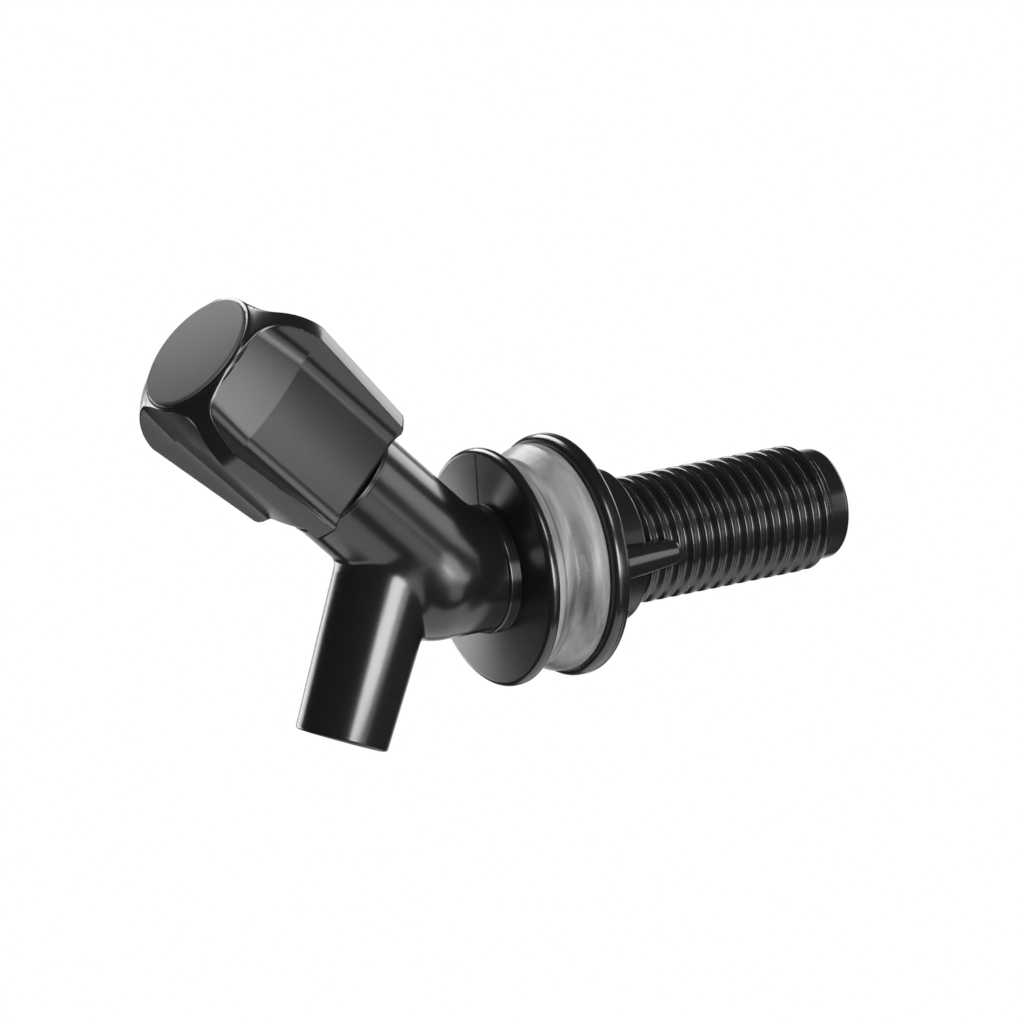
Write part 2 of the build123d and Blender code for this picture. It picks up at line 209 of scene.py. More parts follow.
def sizes():
    """The scene's size settings."""
    return bpy.context.scene.faucet_sizes


def finish():
    """The scene's finish settings."""
    return bpy.context.scene.faucet_finish


# Places

def axis_frame(origin, axis, across):
    """A matrix that stands a turned piece, built on local Z, on an axis of the faucet."""
    axis = Vector(axis).normalized()
    across = Vector(across).normalized()
    frame_matrix = Matrix((across, axis.cross(across), axis)).transposed().to_4x4()
    frame_matrix.translation = Vector(origin)
    return frame_matrix


def shank_frame():
    """Local Z along the shank, from the flange's sealing face."""
    return axis_frame((0, 0, 0), (1, 0, 0), (0, 0, 1))


def barrel_frame():
    """Local Z along the barrel, from the elbow."""
    angle = sizes().barrel_angle
    axis = (-math.cos(angle), 0, math.sin(angle))
    across = (math.sin(angle), 0, math.cos(angle))
    return axis_frame((-sizes().elbow_reach, 0, 0), axis, across)


def spout_frame():
    """Local Z down the spout, from the barrel's axis."""
    angle = sizes().spout_angle
    origin = barrel_frame() @ Vector((0, 0, sizes().spout_root))
    axis = (-math.sin(angle), 0, -math.cos(angle))
    across = (math.cos(angle), 0, -math.sin(angle))
    return axis_frame(origin, axis, across)


# Mesh helpers

def rounded(corners, steps=6, closed=False):
    """Points of an outline of (radius, height, rounding) corners, rounded with arcs."""
    count = len(corners)
    points = []
    for i, (radius, height, rounding) in enumerate(corners):
        here = Vector((radius, height))
        if rounding == 0 or (not closed and i in (0, count - 1)):
            points.append(here)
            continue
        before = (Vector(corners[i - 1][:2]) - here).normalized()
        after = (Vector(corners[(i + 1) % count][:2]) - here).normalized()
        half = before.angle(after) / 2
        centre = here + (before + after).normalized() * rounding / math.sin(half)
        first = here + before * rounding / math.tan(half) - centre
        last = here + after * rounding / math.tan(half) - centre
        sweep = first.angle_signed(last)
        for step in range(steps + 1):
            turn = Matrix.Rotation(-sweep * step / steps, 2)
            points.append(centre + turn @ first)
    return points


def new_object(name, data):
    """An object for a mesh, a lamp or a camera, linked to the scene."""
    made = bpy.data.objects.new(name, data)
    bpy.context.scene.collection.objects.link(made)
    return made


def add_mesh(name, vertices, faces, place=None, sharp_angle=38):
    """A smooth-shaded mesh object, with its edges over sharp_angle degrees kept sharp."""
    mesh = bpy.data.meshes.new(name)
    if place is not None:
        matrix = np.array(place)
        vertices = np.asarray(vertices) @ matrix[:3, :3].T + matrix[:3, 3]
    mesh.from_pydata(np.asarray(vertices).tolist(), [], faces)
    build = bmesh.new()
    build.from_mesh(mesh)
    bmesh.ops.remove_doubles(build, verts=build.verts, dist=1e-7)
    bmesh.ops.recalc_face_normals(build, faces=build.faces)
    build.to_mesh(mesh)
    build.free()
    mesh.shade_smooth()
    mesh.set_sharp_from_angle(angle=math.radians(sharp_angle))
    return new_object(name, mesh)


def ring_faces(rings, around, closed_along=False):
    """Quads between rings of points that are stored one ring after another."""
    faces = []
    for i in range(rings if closed_along else rings - 1):
        here = i * around
        above = (i + 1) % rings * around
        for j in range(around):
            beside = (j + 1) % around
            faces.append((here + j, here + beside, above + beside, above + j))
    return faces


def angles_round():
    """The angles of the points round a turned piece."""
    return np.linspace(0, 2 * math.pi, sizes().facets, endpoint=False)


def turned_ring(radius, height, turn):
    """A ring of points at the angles of turn, each of which may have a radius of its own."""
    across, up = radius * np.cos(turn), radius * np.sin(turn)
    return np.column_stack((across, up, np.full(len(turn), height)))


def lathe(name, outline, place, closed=False):
    """A turned piece from an outline of (radius, height) points."""
    turn = angles_round()
    rings = [turned_ring(radius, height, turn) for radius, height in outline]
    return add_mesh(name, np.vstack(rings), ring_faces(len(rings), len(turn), closed), place)


def dress(piece, body, node, material):
    """Gives a piece its body, the node that it stands for and its material."""
    piece.data.materials.clear()
    piece.data.materials.append(material)
    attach(piece, body)
    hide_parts(node)
    return piece


# Node groups and materials

def new_group(name, inputs, outputs):
    """An empty shader node group with float, vector or colour sockets."""
    group = bpy.data.node_groups.new(name, "ShaderNodeTree")
    for label, kind, default in inputs:
        socket = group.interface.new_socket(label, in_out="INPUT", socket_type=kind)
        socket.default_value = default
    for label, kind in outputs:
        group.interface.new_socket(label, in_out="OUTPUT", socket_type=kind)
    start = group.nodes.new("NodeGroupInput")
    end = group.nodes.new("NodeGroupOutput")
    return group, start, end


def noise(tree, scale, detail=3.0, roughness=0.5):
    """A 3D noise node."""
    node = tree.nodes.new("ShaderNodeTexNoise")
    node.inputs["Scale"].default_value = scale
    node.inputs["Detail"].default_value = detail
    node.inputs["Roughness"].default_value = roughness
    return node


def feed(tree, socket, value):
    """Sets a socket to a number or colour, or links another node's socket to it."""
    if isinstance(value, bpy.types.NodeSocket):
        tree.links.new(value, socket)
    else:
        socket.default_value = value


def math_node(tree, operation, *values):
    """The result of a Math node, whose inputs are numbers or other nodes' sockets."""
    node = tree.nodes.new("ShaderNodeMath")
    node.operation = operation
    for socket, value in zip(node.inputs, values):
        feed(tree, socket, value)
    return node.outputs[0]


def mix_node(tree, kind, factor, first, second):
    """A value or colour that runs from first to second with factor."""
    node = tree.nodes.new("ShaderNodeMix")
    node.data_type = kind
    for label, value in (("Factor", factor), ("A", first), ("B", second)):
        feed(tree, node.inputs[label], value)
    return node.outputs["Result"]


def moulded_grain():
    """Group: the fine skin of a moulded surface, as a roughness and a bump height."""
    name = "Moulded Grain"
    if name in bpy.data.node_groups:
        return bpy.data.node_groups[name]
    group, start, end = new_group(
        name,
        [
            ("Vector", "NodeSocketVector", (0, 0, 0)),
            ("Grain Scale", "NodeSocketFloat", 2500.0),
            ("Roughness", "NodeSocketFloat", 0.3),
            ("Variation", "NodeSocketFloat", 0.05),
            ("Waviness", "NodeSocketFloat", 0.5),
        ],
        [
            ("Roughness", "NodeSocketFloat"),
            ("Height", "NodeSocketFloat"),
            ("Mottle", "NodeSocketFloat"),
        ],
    )
    vector = start.outputs["Vector"]
    fine = noise(group, 2500.0, 2.0, 0.6)
    broad = noise(group, 130.0, 3.0, 0.5)
    group.links.new(vector, fine.inputs["Vector"])
    group.links.new(start.outputs["Grain Scale"], fine.inputs["Scale"])
    group.links.new(vector, broad.inputs["Vector"])
    mottle = broad.outputs["Fac"]
    centred = math_node(group, "SUBTRACT", mottle, 0.5)
    variation, roughness = start.outputs["Variation"], start.outputs["Roughness"]
    results = {
        "Roughness": math_node(group, "MULTIPLY_ADD", centred, variation, roughness),
        "Height": math_node(
            group, "MULTIPLY_ADD", mottle, start.outputs["Waviness"], fine.outputs["Fac"]
        ),
        "Mottle": mottle,
    }
    for label, result in results.items():
        group.links.new(result, end.inputs[label])
    return group


def new_material(name):
    """A material with its shader and its object coordinates."""
    material = bpy.data.materials.new(name)
    material.use_nodes = True
    tree = material.node_tree
    shader = tree.nodes["Principled BSDF"]
    coordinates = tree.nodes.new("ShaderNodeTexCoord")
    return material, tree, shader, coordinates.outputs["Object"]


def add_skin(tree, shader, coordinates, roughness, skin):
    """Puts a finish on a shader, and returns the grain's mottle for the colour."""
    grain_values, bump_values = skin
    grain = tree.nodes.new("ShaderNodeGroup")
    grain.node_tree = moulded_grain()
    grain.inputs["Roughness"].default_value = roughness
    for label, value in grain_values.items():
        grain.inputs[label].default_value = value
    tree.links.new(coordinates, grain.inputs["Vector"])
    tree.links.new(grain.outputs["Roughness"], shader.inputs["Roughness"])
    bump = tree.nodes.new("ShaderNodeBump")
    for label, value in bump_values.items():
        bump.inputs[label].default_value = value
    tree.links.new(grain.outputs["Height"], bump.inputs["Height"])
    tree.links.new(bump.outputs["Normal"], shader.inputs["Normal"])
    return grain.outputs["Mottle"]


def colour_skin(tree, shader, mottle, dark, light):
    """Gives a shader a colour that runs from dark to light with the mottle."""
    colour = mix_node(tree, "RGBA", mottle, (*dark, 1.0), (*light, 1.0))
    tree.links.new(colour, shader.inputs["Base Color"])


def skin_values(grain_scale, variation, waviness, depth_mm, strength=0.35):
    """A finish: the grain's scale, the gloss's unevenness, the waves' weight and the bump."""
    grain = {"Grain Scale": grain_scale, "Variation": variation, "Waviness": waviness}
    bump = {"Distance": depth_mm * MM, "Strength": strength}
    return grain, bump


BLACK_SKIN = skin_values(2600.0, 0.06, 2.0, 0.006)
CAP_SKIN = skin_values(5200.0, 0.08, 0.5, 0.04)
ACETAL_SKIN = skin_values(3000.0, 0.08, 1.0, 0.02)
RUBBER_SKIN = skin_values(3800.0, 0.10, 1.0, 0.03)
SEAL_SKIN = skin_values(1800.0, 0.16, 3.0, 0.06, 0.5)
STEEL_SKIN = skin_values(4200.0, 0.15, 1.0, 0.02, 0.3)
BLACK_SPECULAR = 0.9


def moulded_plastic(name, colour, roughness, skin, specular=0.5):
    """Moulded plastic: a near-flat colour with mottle, uneven gloss and a fine skin."""
    if name in bpy.data.materials:
        return bpy.data.materials[name]
    material, tree, shader, coordinates = new_material(name)
    mottle = add_skin(tree, shader, coordinates, roughness, skin)
    spread = 0.15
    dark = [(1 - spread) * c for c in colour]
    light = [(1 + spread) * c for c in colour]
    colour_skin(tree, shader, mottle, dark, light)
    shader.inputs["Specular IOR Level"].default_value = specular
    return material


def black_body():
    """The body's and nut's glossy black."""
    gloss = finish().body_roughness
    return moulded_plastic("black_plastic", finish().black, gloss, BLACK_SKIN, BLACK_SPECULAR)


def black_knob():
    """The knob's black, a little more satin."""
    gloss = finish().knob_roughness
    return moulded_plastic("black_knob", finish().black, gloss, BLACK_SKIN, BLACK_SPECULAR)


def matt_cap():
    """The cap's matt charcoal."""
    return moulded_plastic("matt_cap", finish().charcoal, finish().cap_roughness, CAP_SKIN)


def natural_acetal():
    """Off-white plastic of the parts that slide and turn inside."""
    look = finish()
    return moulded_plastic("natural_acetal", look.acetal, look.acetal_roughness, ACETAL_SKIN)


def black_rubber():
    """The rings and the seat washer."""
    return moulded_plastic("black_rubber", finish().black, finish().rubber_roughness, RUBBER_SKIN)


def clear_rubber():
    """The seals' translucent rubber, with darker and lighter streaks that run round it."""
    name = "clear_rubber"
    if name in bpy.data.materials:
        return bpy.data.materials[name]
    material, tree, shader, coordinates = new_material(name)
    stretch = tree.nodes.new("ShaderNodeMapping")
    along, across = 260.0, 60.0
    stretch.inputs["Scale"].default_value = (along, across, across)
    tree.links.new(coordinates, stretch.inputs["Vector"])
    streaks = noise(tree, 1.0, 4.0, 0.55)
    streaks.inputs["Distortion"].default_value = 0.8
    tree.links.new(stretch.outputs["Vector"], streaks.inputs["Vector"])
    ramp = tree.nodes.new("ShaderNodeMapRange")
    darkest, lightest = 0.32, 0.66
    ramp.inputs["From Min"].default_value = darkest
    ramp.inputs["From Max"].default_value = lightest
    tree.links.new(streaks.outputs["Fac"], ramp.inputs["Value"])
    colour_skin(tree, shader, ramp.outputs["Result"], finish().seal_dark, finish().seal_light)
    add_skin(tree, shader, coordinates, finish().seal_roughness, SEAL_SKIN)
    depth = 2 * MM
    shader.inputs["Subsurface Weight"].default_value = 0.25
    shader.inputs["Subsurface Radius"].default_value = (depth, depth, depth)
    return material


def screw_steel():
    """Plain steel with fine turning marks."""
    name = "screw_steel"
    if name in bpy.data.materials:
        return bpy.data.materials[name]
    material, tree, shader, coordinates = new_material(name)
    mottle = add_skin(tree, shader, coordinates, finish().steel_roughness, STEEL_SKIN)
    dark = [0.85 * c for c in finish().steel]
    colour_skin(tree, shader, mottle, dark, finish().steel)
    shader.inputs["Metallic"].default_value = 1.0
    return material


# The body's elbow, blended from three tubes

def along_and_across(points, place):
    """Each point's height along an axis, its distance from the axis, and its local place."""
    matrix = np.array(place.inverted())
    local = points @ matrix[:3, :3].T + matrix[:3, 3]
    return local[:, 2], np.hypot(local[:, 0], local[:, 1]), local


def blend(first, second, radius):
    """The smaller of two values with a soft change-over, such as two shapes' smooth union."""
    near = np.maximum(radius - np.abs(first - second), 0) / radius
    return np.minimum(first, second) - near**2 * radius / 4


def trim(first, second, radius):
    """The larger of two values with a soft change-over, such as their smooth overlap."""
    return -blend(-first, -second, radius)


def spout_taper():
    """Loss of the spout's radius for each metre of its length."""
    size = sizes()
    return (size.spout_root_radius - size.spout_end_radius) / size.spout_length


def elbow_distance(points):
    """Distance of points from the elbow's skin: barrel, hub and spout with fillets between them."""
    size = sizes()
    edge_round = 0.2 * size.blend_radius
    height, radius, local = along_and_across(points, barrel_frame())
    barrel = trim(radius - size.barrel_radius, -height, size.elbow_round)
    land_depth = math.sqrt(size.barrel_radius**2 - (size.parting_land / 2) ** 2)
    barrel = trim(barrel, -local[:, 0] - land_depth, edge_round)
    height, radius, _ = along_and_across(points, shank_frame())
    ball = np.sqrt(np.minimum(height + size.hub_reach, 0) ** 2 + radius**2)
    hub = ball - size.hub_radius
    height, radius, _ = along_and_across(points, spout_frame())
    spout = radius - (size.spout_root_radius - spout_taper() * height)
    spout = trim(spout, -height, edge_round)
    return blend(blend(barrel, hub, size.hub_blend), spout, size.blend_radius)


def settle(points, distance, rounds=8, probe=1e-6):
    """Moves points on to the surface where distance is zero."""
    for _ in range(rounds):
        value = distance(points)
        slope = np.empty_like(points)
        for axis in range(3):
            shift = np.zeros(3)
            shift[axis] = probe
            slope[:, axis] = (distance(points + shift) - distance(points - shift)) / (2 * probe)
        points = points - slope * (value / np.maximum((slope**2).sum(axis=1), 1e-9))[:, None]
    return points


def rough_elbow(voxel):
    """A closed first shape of the elbow: three tubes fused by a voxel remesh."""
    size = sizes()
    build = bmesh.new()
    hub = size.hub_radius
    # Both tubes end a little past the place where the skin is cut later
    barrel_cut = size.barrel_end + 2 * MM
    spout_cut = 0.62 * size.spout_length
    tubes = [
        (barrel_frame(), size.barrel_radius, size.barrel_radius, 0.0, barrel_cut),
        (shank_frame(), hub, hub, -size.hub_reach, 0.0),
        (spout_frame(), size.spout_root_radius, size.spout_end_radius, 0.0, spout_cut),
    ]
    for place, start_radius, end_radius, start, end in tubes:
        middle = Matrix.Translation((0, 0, (start + end) / 2))
        bmesh.ops.create_cone(
            build, cap_ends=True, segments=96, radius1=start_radius, radius2=end_radius,
            depth=end - start, matrix=place @ middle,
        )
    ball_place = shank_frame() @ Matrix.Translation((0, 0, -size.hub_reach))
    bmesh.ops.create_uvsphere(
        build, u_segments=64, v_segments=32, radius=hub, matrix=ball_place
    )
    mesh = bpy.data.meshes.new("elbow_rough")
    build.to_mesh(mesh)
    build.free()
    rough = new_object("elbow_rough", mesh)
    remesh = rough.modifiers.new("fuse", "REMESH")
    remesh.mode = "VOXEL"
    remesh.voxel_size = voxel
    depsgraph = bpy.context.evaluated_depsgraph_get()
    fused = bpy.data.meshes.new_from_object(rough.evaluated_get(depsgraph))
    bpy.data.objects.remove(rough)
    bpy.data.meshes.remove(mesh)
    return fused


def make_elbow():
    """The elbow's skin between the barrel's bead, the flange's collar and the spout's tube."""
    size = sizes()
    voxel = 0.32 * MM
    fused = rough_elbow(voxel)
    points = np.empty(len(fused.vertices) * 3)
    fused.vertices.foreach_get("co", points)
    points = settle(points.reshape(-1, 3), elbow_distance)
    fused.vertices.foreach_set("co", points.ravel())
    build = bmesh.new()
    build.from_mesh(fused)
    # Each cut leaves the skin a short way under the piece that goes on from it
    cuts = [
        (barrel_frame(), size.barrel_end - 0.4 * MM),
        (shank_frame(), -size.flange_thickness - size.collar_length + 0.2 * MM),
        (spout_frame(), spout_seam() + 0.5 * MM),
    ]
    for place, height in cuts:
        geometry = build.verts[:] + build.edges[:] + build.faces[:]
        foot = place @ Vector((0, 0, height))
        axis = place.to_3x3() @ Vector((0, 0, 1))
        bmesh.ops.bisect_plane(
            build, geom=geometry, plane_co=foot, plane_no=axis, clear_outer=True
        )
    build.to_mesh(fused)
    build.free()
    fused.name = "elbow"
    fused.shade_smooth()
    return new_object("elbow", fused)


def spout_seam():
    """Where the spout's turned tube takes over from the elbow's skin."""
    return 0.5 * sizes().spout_length


# Other pieces of the body

def make_spout():
    """The spout's tube with its rounded lip and bore."""
    size = sizes()
    cover = 0.004 * MM
    seam = spout_seam()
    outline = rounded(
        [
            (size.spout_root_radius - spout_taper() * seam + cover, seam, 0),
            (size.spout_end_radius + cover, size.spout_length, 0.5 * MM),
            (size.spout_bore_radius, size.spout_length, 0.3 * MM),
            (size.spout_bore_radius, size.spout_root, 0),
        ]
    )
    return lathe("spout_tube", outline, spout_frame())


def make_barrel_end():
    """The bead and shoulder at the barrel's end, and the neck inside the knob."""
    size = sizes()
    bead = size.barrel_radius + 0.15 * MM
    start = size.barrel_end - 0.8 * MM
    # Two beads with a groove between them, the shoulder, and the neck with its bore
    outline = rounded(
        [
            (size.barrel_radius - 0.4 * MM, start, 0),
            (bead, start, 0.12 * MM),
            (bead, start + 0.35 * MM, 0.08 * MM),
            (size.barrel_radius - 0.05 * MM, start + 0.42 * MM, 0.08 * MM),
            (bead - 0.05 * MM, start + 0.5 * MM, 0.08 * MM),
            (bead - 0.05 * MM, size.barrel_end, 0.2 * MM),
            (size.neck_radius, size.barrel_end, 0.2 * MM),
            (size.neck_radius, size.neck_top, 0.3 * MM),
            (size.chamber_radius, size.neck_top, 0.1 * MM),
            (size.chamber_radius, size.neck_top - 6 * MM, 0),
        ]
    )
    return lathe("barrel_end", outline, barrel_frame())


def make_flange():
    """The fixed flange with its collar."""
    size = sizes()
    radius = BODY_BOX[1][1]
    face = -size.flange_thickness
    outline = rounded(
        [
            (size.hub_radius - 0.5 * MM, face - size.collar_length, 0),
            (size.collar_radius, face - size.collar_length, 0.3 * MM),
            (size.collar_radius, face, 0.05 * MM),
            (radius, face, 0.7 * MM),
            (radius, 0, 0.3 * MM),
            (size.inlet_radius, 0, 0),
        ]
    )
    return lathe("flange", outline, shank_frame())


def make_flange_seam():
    """The fine parting line down the flange's front face."""
    size = sizes()
    middle = size.seam_offset
    half = 0.13 * MM
    crest = -size.flange_thickness - 0.07 * MM
    foot = -size.flange_thickness + 0.05 * MM
    start = size.collar_radius - 0.3 * MM
    end = BODY_BOX[1][1] - 0.75 * MM
    points = []
    for height in np.linspace(start, end, 12):
        for depth, across in ((foot, middle - half), (crest, middle), (foot, middle + half)):
            points.append((depth, across, height))
    faces = []
    for first in range(0, len(points) - 3, 3):
        for side in (first, first + 1):
            faces.append((side, side + 1, side + 4, side + 3))
    return add_mesh("flange_seam", points, faces)


def thread_profile(phase, root, crest):
    """Radius of the thread at a phase from -0.5 to 0.5 of a pitch: a ridge with soft shoulders."""
    size = sizes()
    softness = 0.55
    hollow_depth = 0.02 * MM
    distance = np.abs(phase) * size.thread_pitch
    flank = (distance - size.crest_width / 2) / ((size.root_width - size.crest_width) / 2)
    depth = np.clip(flank, 0, 1)
    soft = depth * depth * (3 - 2 * depth)
    hollow = hollow_depth * np.clip(1 - distance / (size.crest_width / 2), 0, 1)
    return crest - (crest - root) * (softness * soft + (1 - softness) * depth) - hollow


def make_shank():
    """The threaded shank: turns that fade in and out, a plain lead-in and the open bore."""
    size = sizes()
    end = BODY_BOX[1][0]
    root = size.thread_crest - size.thread_depth
    thread_end = end - size.lead_in_length
    rings_a_pitch = 20
    turn = angles_round()
    rings = []
    for height in np.arange(0.2 * MM, thread_end, size.thread_pitch / rings_a_pitch):
        phase = (height - size.thread_start) / size.thread_pitch - turn / (2 * math.pi)
        phase = phase - np.round(phase)
        fade_in = np.clip((height - 0.4 * MM) / size.thread_pitch, 0, 1)
        fade_out = np.clip((thread_end - height) / (0.6 * size.thread_pitch), 0, 1)
        radius = root + (thread_profile(phase, root, size.thread_crest) - root) * fade_in * fade_out
        rings.append(turned_ring(radius, height, turn))
    outline = rounded(
        [
            (root, thread_end, 0),
            (size.lead_in_radius, thread_end + 0.1 * MM, 0.05 * MM),
            (size.lead_in_radius, end, 0.7 * MM),
            (size.inlet_radius, end, 0.25 * MM),
            (size.inlet_radius, 0.0, 0),
        ]
    )
    rings += [turned_ring(radius, height, turn) for radius, height in outline]
    faces = ring_faces(len(rings), len(turn))
    return add_mesh("threaded_shank", np.vstack(rings), faces, shank_frame(), 60)


# Seals and wing nut

def bore_radius():
    """Bore of the nut and the seals, which clears the thread's crest."""
    return sizes().thread_crest + sizes().thread_clearance


def make_outer_seal():
    """The thin washer against the flange."""
    start = OUTER_SEAL_BOX[0][0]
    end = OUTER_SEAL_BOX[1][0]
    radius = OUTER_SEAL_BOX[1][1]
    bore = bore_radius()
    outline = rounded(
        [(bore, start, 0), (radius, start, 0.5 * MM), (radius, end, 0.5 * MM), (bore, end, 0)]
    )
    return lathe("outer_washer", outline, shank_frame(), closed=True)


def make_inner_seal():
    """The thick gasket: a waisted cone with a bright-edged band."""
    start = INNER_SEAL_BOX[0][0]
    end = INNER_SEAL_BOX[1][0]
    radius = INNER_SEAL_BOX[1][1]
    bore = bore_radius()
    band = end - sizes().seal_band
    # A chamfer and a bead at the near face, then the waist and the band
    outline = rounded(
        [
            (bore, start, 0),
            (radius - 1.5 * MM, start, 0.2 * MM),
            (radius - 0.9 * MM, start + 0.45 * MM, 0.25 * MM),
            (radius - 0.95 * MM, start + 1.0 * MM, 0.25 * MM),
            (radius - 1.45 * MM, start + 1.9 * MM, 1.0 * MM),
            (radius - 0.35 * MM, band, 0.8 * MM),
            (radius, band + 0.8 * MM, 0.4 * MM),
            (radius, end, 0.5 * MM),
            (bore, end, 0),
        ]
    )
    return lathe("inner_gasket", outline, shank_frame(), closed=True)


def make_nut():
    """The nut's flange and hub, with its rim's parting line."""
    size = sizes()
    start = NUT_BOX[0][0]
    radius = NUT_BOX[1][1] - 0.02 * MM
    flange_end = start + size.nut_flange
    hub_end = start + size.nut_hub_end
    hub = size.nut_hub_radius
    bore = bore_radius()
    line = start + 1.35 * MM
    line_half, line_depth = 0.06 * MM, 0.08 * MM
    outline = rounded(
        [
            (bore, start, 0),
            (radius, start, 0.85 * MM),
            (radius, line - line_half, 0),
            (radius - line_depth, line, 0),
            (radius, line + line_half, 0),
            (radius, flange_end, 0.6 * MM),
            (hub, flange_end, 0.6 * MM),
            (hub, hub_end, 0.4 * MM),
            (bore, hub_end, 0.2 * MM),
        ],
        closed=True,
    )
    return lathe("nut_hub", outline, shank_frame(), closed=True)


def wing_section(reach, half, corner):
    """Outline of the wing across its length: a plate with two rounded corners and a domed edge."""
    foot = 9.0 * MM
    edge, side = half + 0.02 * MM, reach - 0.12 * MM
    dome = 2.0 * MM
    return rounded(
        [
            (-half, foot, 0),
            (-edge, side, corner),
            (0, reach, dome),
            (edge, side, corner),
            (half, foot, 0),
        ]
    )


def make_wing(side):
    """One wing: a tapered plate with a domed edge and a rounded tip that reaches past the hub."""
    size = sizes()
    start = NUT_BOX[0][0] + 1.0 * MM
    end = NUT_BOX[1][0]
    tip_round = size.wing_tip_round
    taper, belly, tip_taper = 0.5 * MM, 0.12 * MM, 0.45 * MM
    stations = [(share_along, 0.0) for share_along in np.linspace(0, 1, 14)]
    stations += [(1.0, angle) for angle in np.linspace(0, math.pi / 2, 8)[1:]]
    rings = []
    for along, angle in stations:
        rounding = 1 - math.cos(angle)
        reach = size.wing_reach + (size.wing_tip_reach - size.wing_reach) * along
        reach -= tip_round * rounding
        half = size.wing_half - taper * along + belly * math.sin(math.pi * along)
        half -= tip_taper * rounding
        height = start + (end - tip_round - start) * along + tip_round * math.sin(angle)
        section = wing_section(reach, half, 0.8 * half)
        rings.append([(across, side * radius, height) for across, radius in section])
    around = len(rings[0])
    faces = ring_faces(len(rings), around)
    faces.append(tuple(range((len(rings) - 1) * around, len(rings) * around)))
    faces.append(tuple(range(around)))
    vertices = [point for ring in rings for point in ring]
    name = "wing_front" if side > 0 else "wing_back"
    return add_mesh(name, vertices, faces, shank_frame(), 50)


# Knob and cap

CHAMFER_HEIGHT = 1.0 * MM
FOOT_ROUND = 0.25 * MM


def knob_reach(height):
    """Outer radius of the knob's ribs at a height along the barrel's axis."""
    size = sizes()
    chamfer_end = size.knob_start + CHAMFER_HEIGHT
    chamfered = size.foot_radius + size.foot_chamfer
    if height <= chamfer_end:
        share_up = (height - size.knob_start) / (chamfer_end - size.knob_start)
        return size.foot_radius + size.foot_chamfer * math.sin(share_up * math.pi / 2)
    if height <= size.knob_kink:
        share_up = (height - chamfer_end) / (size.knob_kink - chamfer_end)
        return chamfered + (size.kink_radius - chamfered) * share_up
    centre, radius = crown_arc()
    return centre.x + math.sqrt(max(radius**2 - (height - centre.y) ** 2, 0))


def crown_arc():
    """Centre and radius of the arc from the kink over the shoulder to the rim."""
    size = sizes()
    kink = Vector((size.kink_radius, size.knob_kink, 0))
    to_shoulder = Vector((size.shoulder_radius, size.shoulder_height, 0)) - kink
    to_rim = Vector((size.rim_radius, size.knob_top, 0)) - kink
    normal = to_shoulder.cross(to_rim)
    toward = normal.cross(to_shoulder) * to_rim.length_squared
    toward += to_rim.cross(normal) * to_shoulder.length_squared
    centre = kink + toward / (2 * normal.length_squared)
    return centre, (kink - centre).length


def crown_heights(steps):
    """Heights of the crown's rings, evenly spaced along its arc."""
    size = sizes()
    centre, radius = crown_arc()
    first = math.asin((size.knob_kink - centre.y) / radius)
    last = math.asin((size.knob_top - centre.y) / radius)
    angles = [first + (last - first) * i / steps for i in range(1, steps + 1)]
    return [centre.y + radius * math.sin(angle) for angle in angles]


def knob_section(corner_width, fillet, reach):
    """One ring of the knob: bulged panels, fillets and rib walls, cut softly at the ribs' reach."""
    bulge = 0.5 * MM
    middle = corner_width + 0.35 * MM
    far = 16.0 * MM / math.sqrt(2)
    half_rib = sizes().rib_width / 2 / math.sqrt(2)
    panel_steps, wall_steps, land_steps = 9, 16, 5

    def panel_height(across):
        return middle - bulge * (across / corner_width) ** 2

    corner = corner_width
    for _ in range(20):
        corner = panel_height(corner) - 2 * half_rib
    places = [corner * i / panel_steps for i in range(panel_steps)]
    panel = [(across, panel_height(across), 0) for across in places]
    wall = [(far - half_rib, far + half_rib, 0)]
    eighth = rounded(panel + [(corner, panel_height(corner), fillet)] + wall, steps=9)
    wall_foot, edge = eighth[-2:]
    walls = [wall_foot.lerp(edge, i / wall_steps) for i in range(1, wall_steps + 1)]
    land = [edge.lerp(Vector((far, far)), i / land_steps) for i in range(1, land_steps + 1)]
    eighth = eighth[:-1] + walls + land
    quarter = [Vector((-p.x, p.y)) for p in reversed(eighth[1:-1])] + eighth
    ring = []
    for turn in range(4):
        spin = Matrix.Rotation(-turn * math.pi / 2, 2)
        ring += [spin @ p for p in quarter]
    points = np.array([tuple(p) for p in ring])
    distance = np.hypot(points[:, 0], points[:, 1])
    edge_softness = 0.32 * MM
    cut = blend(distance, reach, edge_softness)
    return points * (cut / distance)[:, None]


def panel_width(height):
    """Half-width of the knob's core: a step, then panels that lean in."""
    size = sizes()
    half_step = 0.05 * MM
    share_up = min(max((height - size.panel_step + half_step) / (2 * half_step), 0), 1)
    lean = math.tan(size.panel_lean) * max(height - size.panel_step - half_step, 0)
    return size.core_half_width + size.panel_raise * share_up - lean


def panel_fillet(height):
    """Fillet between panel and rib, which opens out towards the cap."""
    size = sizes()
    growth = 0.2
    share_up = max(height - size.panel_step, 0) / (size.knob_top - size.panel_step)
    return size.panel_fillet * (1 + growth * share_up)


def scaled_ring(ring, change):
    """A ring moved in or out by a distance, along its own radii."""
    distance = np.hypot(ring[:, 0], ring[:, 1])
    return ring * ((distance + change) / distance)[:, None]


